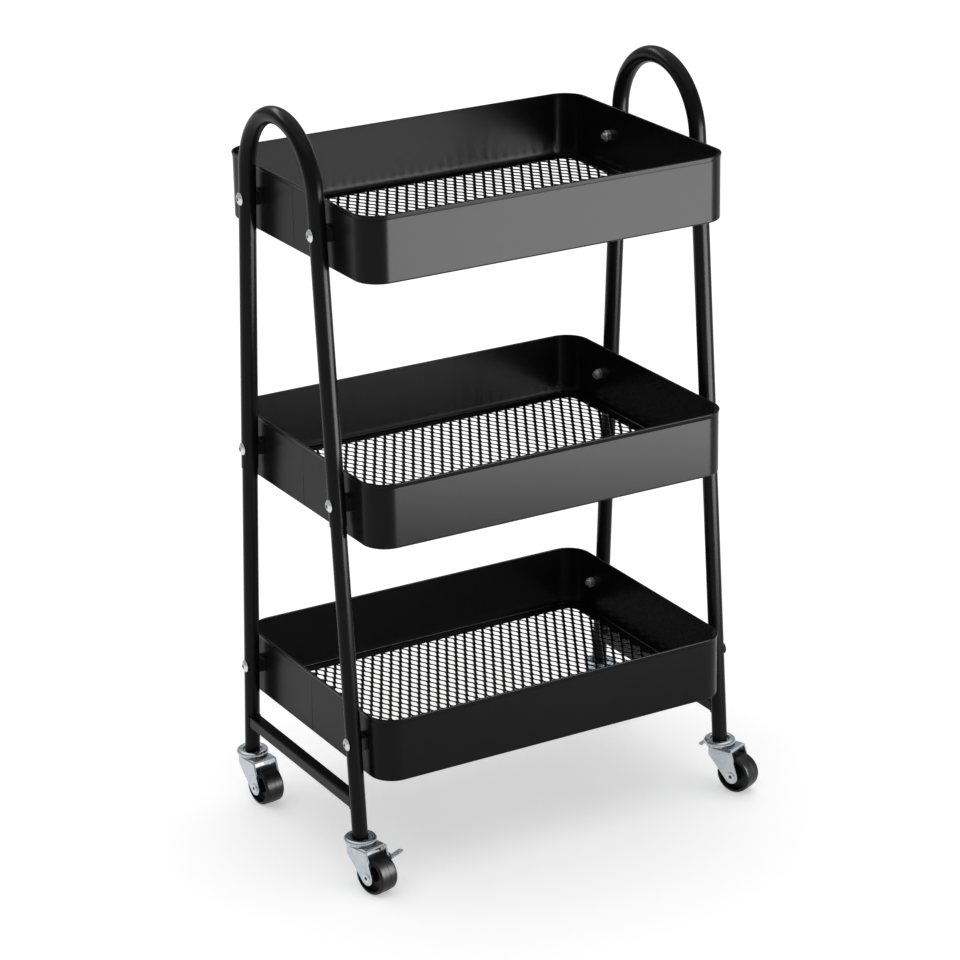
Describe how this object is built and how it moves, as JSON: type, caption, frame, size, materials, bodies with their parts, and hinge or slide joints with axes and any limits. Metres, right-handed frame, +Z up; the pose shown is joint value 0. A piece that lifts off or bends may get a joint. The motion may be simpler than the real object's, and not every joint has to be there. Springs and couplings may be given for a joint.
{
  "type": "basket cart",
  "caption": "Narrow rolling cart: sheet-metal baskets with expanded-metal floors, bolted between two bent tube side frames that stand on swivel casters; the front casters have brakes",
  "frame": {"origin": "on the floor, under the middle of the whole cart with its casters at rest", "axes": "+X to the cart's right, +Y to its back, +Z up; the wheels at rest trail towards -Y"},
  "size_m": [0.4772, 0.3162, 0.7799],
  "materials": {
    "black_powder_coat": "satin black powder coat over steel",
    "black_mesh_coat": "satin black powder coat over expanded steel",
    "black_plastic_spacer": "matte black moulded plastic",
    "bright_fastener": "bright nickel plated steel",
    "zinc_plate": "bright blue-white zinc plate",
    "plain_steel": "turned steel, unseen",
    "bearing_steel": "polished bearing balls",
    "black_wheel_plastic": "semi-matte black moulded wheel"
  },
  "bodies": {
    "cart": {"left_arch": "black_powder_coat", "right_arch": "black_powder_coat", "left_cross_bar": "black_powder_coat", "right_cross_bar": "black_powder_coat", "bottom_basket": "black_powder_coat", "bottom_mesh_floor": "black_mesh_coat", "bottom_screws": "bright_fastener", "bottom_nuts": "bright_fastener", "bottom_spacers": "black_plastic_spacer", "middle_basket": "black_powder_coat", "middle_mesh_floor": "black_mesh_coat", "middle_screws": "bright_fastener", "middle_nuts": "bright_fastener", "middle_spacers": "black_plastic_spacer", "top_basket": "black_powder_coat", "top_mesh_floor": "black_mesh_coat", "top_screws": "bright_fastener", "top_nuts": "bright_fastener", "top_spacers": "black_plastic_spacer", "front_left_leg": "black_powder_coat", "front_left_leg_plug": "plain_steel", "front_left_raceway": "zinc_plate", "front_left_stem": "zinc_plate", "front_right_leg": "black_powder_coat", "front_right_leg_plug": "plain_steel", "front_right_raceway": "zinc_plate", "front_right_stem": "zinc_plate", "back_left_leg": "black_powder_coat", "back_left_leg_plug": "plain_steel", "back_left_raceway": "zinc_plate", "back_left_stem": "zinc_plate", "back_right_leg": "black_powder_coat", "back_right_leg_plug": "plain_steel", "back_right_raceway": "zinc_plate", "back_right_stem": "zinc_plate"},
    "front_left_caster": {"front_left_fork": "zinc_plate", "front_left_axle": "bright_fastener", "front_left_race_balls": "bearing_steel", "front_left_brake_rivet": "bright_fastener"},
    "front_left_wheel": {"front_left_wheel": "black_wheel_plastic"},
    "front_left_brake": {"front_left_brake_lever": "zinc_plate"},
    "front_right_caster": {"front_right_fork": "zinc_plate", "front_right_axle": "bright_fastener", "front_right_race_balls": "bearing_steel", "front_right_brake_rivet": "bright_fastener"},
    "front_right_wheel": {"front_right_wheel": "black_wheel_plastic"},
    "front_right_brake": {"front_right_brake_lever": "zinc_plate"},
    "back_left_caster": {"back_left_fork": "zinc_plate", "back_left_axle": "bright_fastener", "back_left_race_balls": "bearing_steel"},
    "back_left_wheel": {"back_left_wheel": "black_wheel_plastic"},
    "back_right_caster": {"back_right_fork": "zinc_plate", "back_right_axle": "bright_fastener", "back_right_race_balls": "bearing_steel"},
    "back_right_wheel": {"back_right_wheel": "black_wheel_plastic"}
  },
  "joints": [
    {"name": "front_left_swivel", "type": "hinge", "parent": "cart", "child": "front_left_caster", "pos_m": [-0.22162, -0.11428, 0.049], "axis": [0, 0, 1], "continuous": true},
    {"name": "front_left_roll", "type": "hinge", "parent": "front_left_caster", "child": "front_left_wheel", "pos_m": [-0.21567, -0.1365, 0.02], "axis": [0.9659, 0.2588, 0], "continuous": true},
    {"name": "front_left_brake_hinge", "type": "hinge", "parent": "front_left_caster", "child": "front_left_brake", "pos_m": [-0.20453, -0.11799, 0.0395], "axis": [0.9659, 0.2588, 0], "range_deg": [0, 18]},
    {"name": "front_right_swivel", "type": "hinge", "parent": "cart", "child": "front_right_caster", "pos_m": [0.21188, -0.11428, 0.049], "axis": [0, 0, 1], "continuous": true},
    {"name": "front_right_roll", "type": "hinge", "parent": "front_right_caster", "child": "front_right_wheel", "pos_m": [0.22124, -0.13529, 0.02], "axis": [0.9135, 0.4067, 0], "continuous": true},
    {"name": "front_right_brake_hinge", "type": "hinge", "parent": "front_right_caster", "child": "front_right_brake", "pos_m": [0.23178, -0.12075, 0.042], "axis": [0.9135, 0.4067, 0], "range_deg": [-25, 0]},
    {"name": "back_left_swivel", "type": "hinge", "parent": "cart", "child": "back_left_caster", "pos_m": [-0.22162, 0.12809, 0.049], "axis": [0, 0, 1], "continuous": true},
    {"name": "back_left_roll", "type": "hinge", "parent": "back_left_caster", "child": "back_left_wheel", "pos_m": [-0.21882, 0.10526, 0.02], "axis": [0.9925, 0.1219, 0], "continuous": true},
    {"name": "back_right_swivel", "type": "hinge", "parent": "cart", "child": "back_right_caster", "pos_m": [0.21188, 0.12809, 0.049], "axis": [0, 0, 1], "continuous": true},
    {"name": "back_right_roll", "type": "hinge", "parent": "back_right_caster", "child": "back_right_wheel", "pos_m": [0.21666, 0.10559, 0.02], "axis": [0.9781, 0.2079, 0], "continuous": true}
  ]
}
